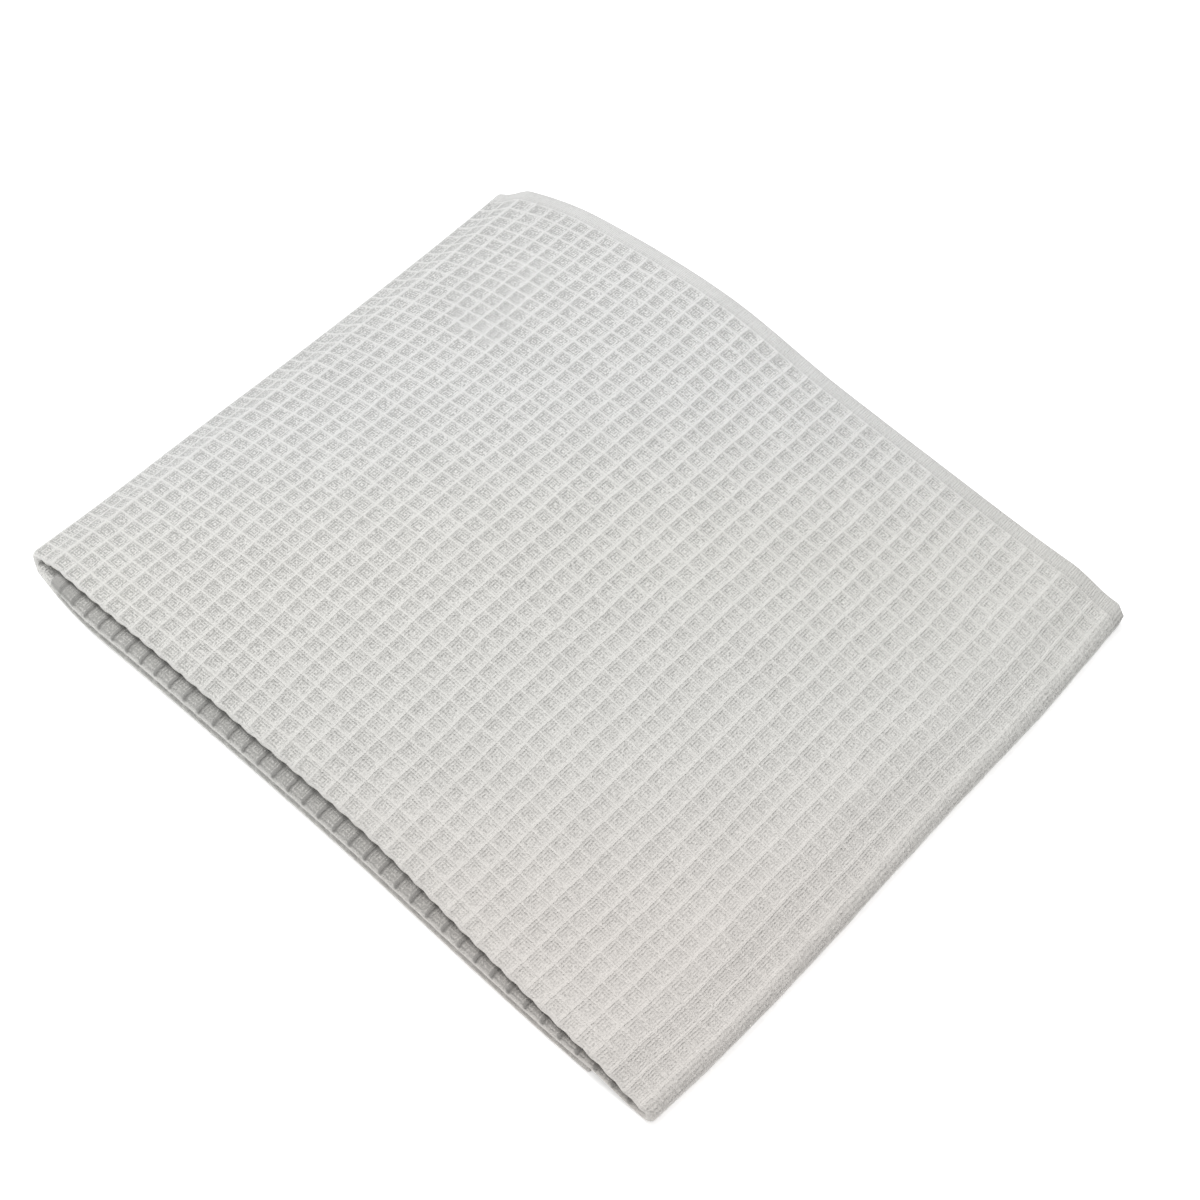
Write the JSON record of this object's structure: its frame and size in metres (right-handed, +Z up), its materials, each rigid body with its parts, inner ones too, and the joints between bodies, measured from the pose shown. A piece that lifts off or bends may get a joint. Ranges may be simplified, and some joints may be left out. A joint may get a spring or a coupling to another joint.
{
  "type": "folded bath towel",
  "caption": "Waffle-weave cotton bath towel folded in half along its length and then in three, lying as a soft, slightly domed pile.",
  "frame": {"origin": "on the surface that the towel lies on, under the middle of the folded pile", "axes": "+X from the soft roll to the tight fold, +Y from the lengthwise crease to the hems, +Z up"},
  "size_m": [0.4324, 0.3574, 0.0477],
  "materials": {
    "cotton": "matt waffle weave, undyed warm off-white"
  },
  "bodies": {
    "root": {"towel": "cotton"}
  },
  "joints": []
}
